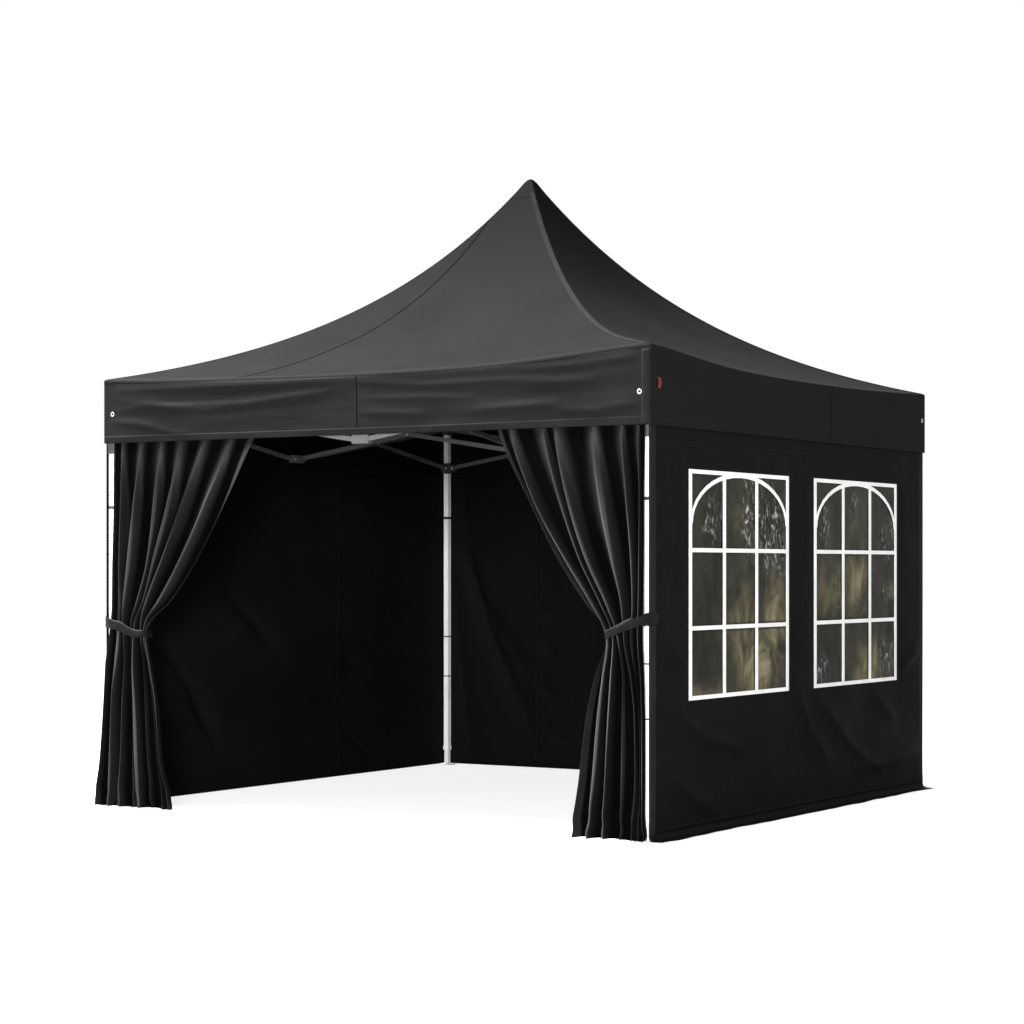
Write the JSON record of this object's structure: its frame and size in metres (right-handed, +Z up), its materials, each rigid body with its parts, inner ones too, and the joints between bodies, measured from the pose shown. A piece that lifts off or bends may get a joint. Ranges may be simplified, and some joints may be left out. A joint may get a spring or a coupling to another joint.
{
  "type": "pop-up party pavilion with side walls",
  "caption": "Square pop-up pavilion with a peaked concave roof, straight valance, closed walls with windows on one side and tied-back curtains at the open front, on telescopic legs.",
  "frame": {"origin": "on the ground, at the centre of the plan", "axes": "+Z up, -Y out of the open front between the curtains, +X towards the wall with the windows"},
  "size_m": [3.12, 3.12, 3.11],
  "materials": {
    "roof_cloth": "black coated polyester weave, satin",
    "wall_cloth": "black coated polyester weave, satin",
    "window_vinyl": "white vinyl strips welded to the cloth",
    "window_film": "clear flexible film, slightly rippled",
    "leg_paint": "white powder coat",
    "frame_steel": "light grey powder coat",
    "bracket_plastic": "light grey moulded nylon"
  },
  "bodies": {
    "pavilion": {"roof_panel_front": "roof_cloth", "valance_front": "roof_cloth", "side_truss_front": "frame_steel", "cross_truss_front": "frame_steel", "roof_panel_right": "roof_cloth", "valance_right": "roof_cloth", "side_truss_right": "frame_steel", "cross_truss_right": "frame_steel", "roof_panel_back": "roof_cloth", "valance_back": "roof_cloth", "side_truss_back": "frame_steel", "cross_truss_back": "frame_steel", "roof_panel_left": "roof_cloth", "valance_left": "roof_cloth", "side_truss_left": "frame_steel", "cross_truss_left": "frame_steel", "peak_cap": "roof_cloth", "wall_left": "wall_cloth", "wall_back": "wall_cloth", "wall_right": "wall_cloth", "curtain_left": "wall_cloth", "tie_back_left": "wall_cloth", "curtain_right": "wall_cloth", "tie_back_right": "wall_cloth", "window_frame_front": "window_vinyl", "window_film_front": "window_film", "window_frame_back": "window_vinyl", "window_film_back": "window_film", "upper_leg_front_left": "leg_paint", "top_bracket_front_left": "bracket_plastic", "slider_front_left": "bracket_plastic", "upper_leg_front_right": "leg_paint", "top_bracket_front_right": "bracket_plastic", "slider_front_right": "bracket_plastic", "upper_leg_back_left": "leg_paint", "top_bracket_back_left": "bracket_plastic", "slider_back_left": "bracket_plastic", "upper_leg_back_right": "leg_paint", "top_bracket_back_right": "bracket_plastic", "slider_back_right": "bracket_plastic", "hub_upper": "bracket_plastic", "hub_lower": "bracket_plastic", "centre_pole": "leg_paint"},
    "foot_front_left": {"lower_leg_front_left": "leg_paint"},
    "foot_front_right": {"lower_leg_front_right": "leg_paint"},
    "foot_back_left": {"lower_leg_back_left": "leg_paint"},
    "foot_back_right": {"lower_leg_back_right": "leg_paint"}
  },
  "joints": [
    {"name": "leg_slide_front_left", "type": "slide", "parent": "pavilion", "child": "foot_front_left", "axis": [0, 0, -1], "range_m": [0, 0.24]},
    {"name": "leg_slide_front_right", "type": "slide", "parent": "pavilion", "child": "foot_front_right", "axis": [0, 0, -1], "range_m": [0, 0.24]},
    {"name": "leg_slide_back_left", "type": "slide", "parent": "pavilion", "child": "foot_back_left", "axis": [0, 0, -1], "range_m": [0, 0.24]},
    {"name": "leg_slide_back_right", "type": "slide", "parent": "pavilion", "child": "foot_back_right", "axis": [0, 0, -1], "range_m": [0, 0.24]}
  ]
}
